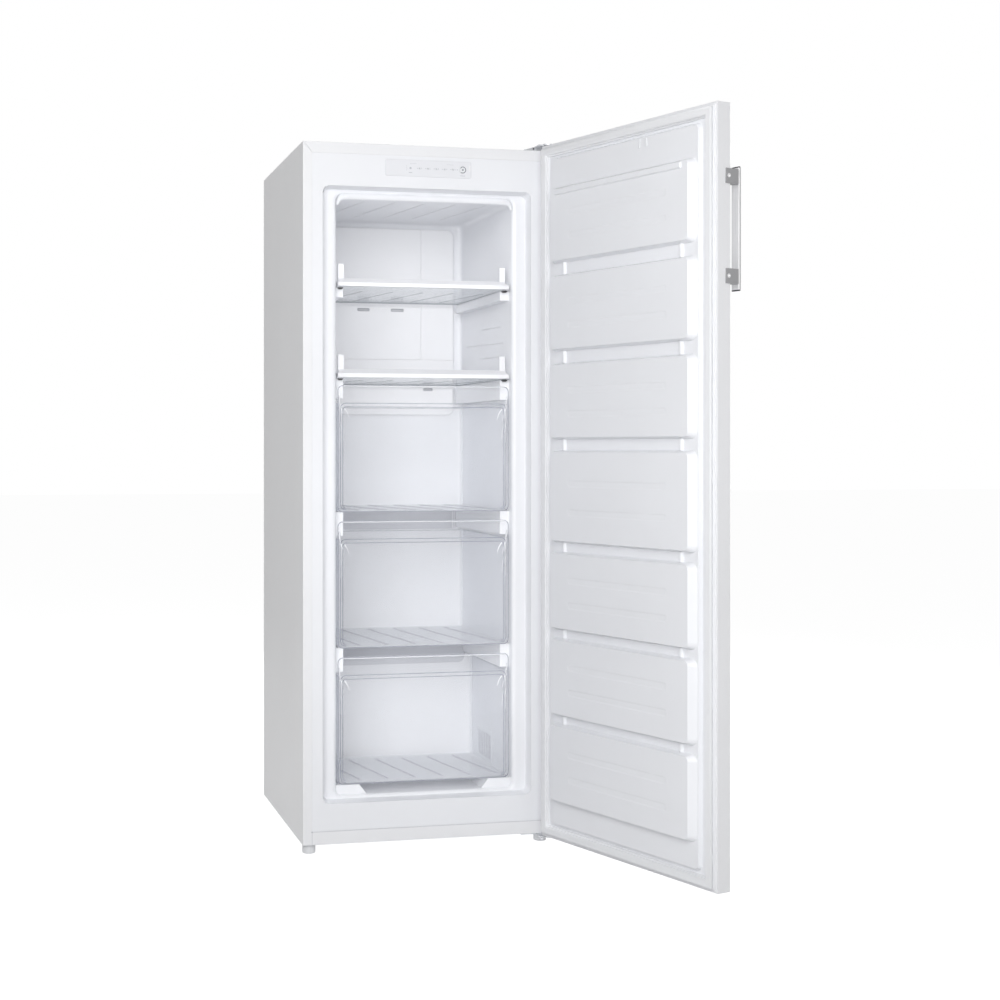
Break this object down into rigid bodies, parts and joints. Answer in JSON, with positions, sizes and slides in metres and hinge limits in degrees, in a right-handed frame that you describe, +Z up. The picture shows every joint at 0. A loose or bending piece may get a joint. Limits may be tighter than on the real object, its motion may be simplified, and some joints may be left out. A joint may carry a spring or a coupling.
{
  "type": "upright freezer",
  "caption": "White upright freezer standing open, with clear drawers, glass shelves, a moulded door liner and a brushed bar handle.",
  "frame": {"origin": "on the floor, midway between the cabinet's sides, under its front face", "axes": "+Z up, +Y towards the back, so the front faces -Y; +X is to the right seen from the front"},
  "size_m": [0.815, 1.1726, 1.668],
  "materials": {
    "white_painted_steel": "smooth satin paint",
    "zinc_steel": "bare zinc-coated sheet",
    "grey_plastic": "moulded, matt",
    "white_liner": "thermoformed, soft gloss",
    "insulating_foam": "closed-cell foam",
    "pale_fascia": "printed film, satin",
    "white_plastic": "moulded, satin",
    "pale_plastic": "moulded, satin",
    "circuit_board": "solder mask",
    "grey_button": "moulded, satin",
    "lamp_lens": "clear moulded",
    "black_steel": "black enamel",
    "black_rubber": "moulded",
    "black_plastic": "moulded, matt",
    "copper": "drawn tube",
    "bare_aluminium": "mill finish",
    "bright_steel": "bright plated",
    "shelf_glass": "toughened, clear",
    "clear_drawer": "clear moulded plastic",
    "white_seal": "soft extrusion",
    "brushed_handle": "fine brushed",
    "grey_painted_metal": "satin paint"
  },
  "bodies": {
    "cabinet": {"back_panel": "zinc_steel", "bottom_plate": "zinc_steel", "bottom_rail": "white_painted_steel", "cabinet_foam": "insulating_foam", "compressor": "black_steel", "compressor_deck": "zinc_steel", "compressor_mounts": "black_rubber", "condenser_tube": "black_steel", "control_board": "circuit_board", "control_fascia": "pale_fascia", "control_housing": "white_plastic", "defrost_heater": "bright_steel", "drain_tube": "grey_plastic", "drip_pan": "black_plastic", "evaporator": "bare_aluminium", "evaporator_brackets": "bare_aluminium", "evaporator_cover": "white_liner", "fan_motor": "black_plastic", "filter_drier": "copper", "hinge_screws": "bright_steel", "inner_liner": "white_liner", "lamp_lenses": "lamp_lens", "lower_hinge": "zinc_steel", "machine_cover": "grey_plastic", "outer_wrapper": "white_painted_steel", "power_inlet": "black_plastic", "return_grille": "white_liner", "roller_axles": "bright_steel", "roller_brackets": "zinc_steel", "suction_pipe": "copper", "terminal_box": "black_plastic", "top_hinge": "zinc_steel", "top_hinge_cover": "grey_plastic"},
    "door": {"door_bottom_cap": "white_plastic", "door_foam": "insulating_foam", "door_gasket": "white_seal", "door_liner": "white_liner", "door_skin": "white_painted_steel", "door_top_cap": "white_plastic", "handle_bar": "brushed_handle", "handle_brackets": "grey_painted_metal", "handle_end_caps": "black_plastic", "handle_screws": "bright_steel", "hinge_bushes": "grey_plastic"},
    "shelf_1": {"glass_shelf_1": "shelf_glass", "shelf_1_front_trim": "white_plastic"},
    "shelf_2": {"glass_shelf_2": "shelf_glass", "shelf_2_front_trim": "white_plastic"},
    "drawer_1": {"drawer_1_front": "clear_drawer", "drawer_1_tub": "clear_drawer"},
    "drawer_2": {"drawer_2_front": "clear_drawer", "drawer_2_tub": "clear_drawer"},
    "drawer_3": {"drawer_3_front": "clear_drawer", "drawer_3_tub": "clear_drawer"},
    "button": {"control_button": "grey_button"},
    "fan": {"fan_blade": "white_plastic"},
    "left_foot": {"left_foot": "pale_plastic"},
    "right_foot": {"right_foot": "pale_plastic"},
    "left_roller": {"left_roller": "black_plastic"},
    "right_roller": {"right_roller": "black_plastic"}
  },
  "joints": [
    {"name": "door_hinge", "type": "hinge", "parent": "cabinet", "child": "door", "pos_m": [0.291, -0.03, 0], "axis": [0, 0, 1], "range_deg": [-108, 12]},
    {"name": "shelf_1_slide", "type": "slide", "parent": "cabinet", "child": "shelf_1", "axis": [0, -1, 0], "range_m": [0, 0.3]},
    {"name": "shelf_2_slide", "type": "slide", "parent": "cabinet", "child": "shelf_2", "axis": [0, -1, 0], "range_m": [0, 0.3]},
    {"name": "drawer_1_slide", "type": "slide", "parent": "cabinet", "child": "drawer_1", "axis": [0, -1, 0], "range_m": [0, 0.3]},
    {"name": "drawer_2_slide", "type": "slide", "parent": "cabinet", "child": "drawer_2", "axis": [0, -1, 0], "range_m": [0, 0.3]},
    {"name": "drawer_3_slide", "type": "slide", "parent": "cabinet", "child": "drawer_3", "axis": [0, -1, 0], "range_m": [0, 0.24]},
    {"name": "button_push", "type": "slide", "parent": "cabinet", "child": "button", "axis": [0, 1, 0], "range_m": [0, 0.001], "stiffness_N_per_m": 800, "springref_m": -0.0005},
    {"name": "fan_spin", "type": "hinge", "parent": "cabinet", "child": "fan", "pos_m": [0, 0.487, 1.4], "axis": [0, 1, 0], "continuous": true},
    {"name": "left_foot_turn", "type": "hinge", "parent": "cabinet", "child": "left_foot", "pos_m": [-0.282, 0.024, 0], "axis": [0, 0, 1], "continuous": true},
    {"name": "right_foot_turn", "type": "hinge", "parent": "cabinet", "child": "right_foot", "pos_m": [0.282, 0.024, 0], "axis": [0, 0, 1], "continuous": true},
    {"name": "left_roller_spin", "type": "hinge", "parent": "cabinet", "child": "left_roller", "pos_m": [-0.24, 0.5, 0.014], "axis": [1, 0, 0], "continuous": true},
    {"name": "right_roller_spin", "type": "hinge", "parent": "cabinet", "child": "right_roller", "pos_m": [0.24, 0.5, 0.014], "axis": [1, 0, 0], "continuous": true}
  ]
}
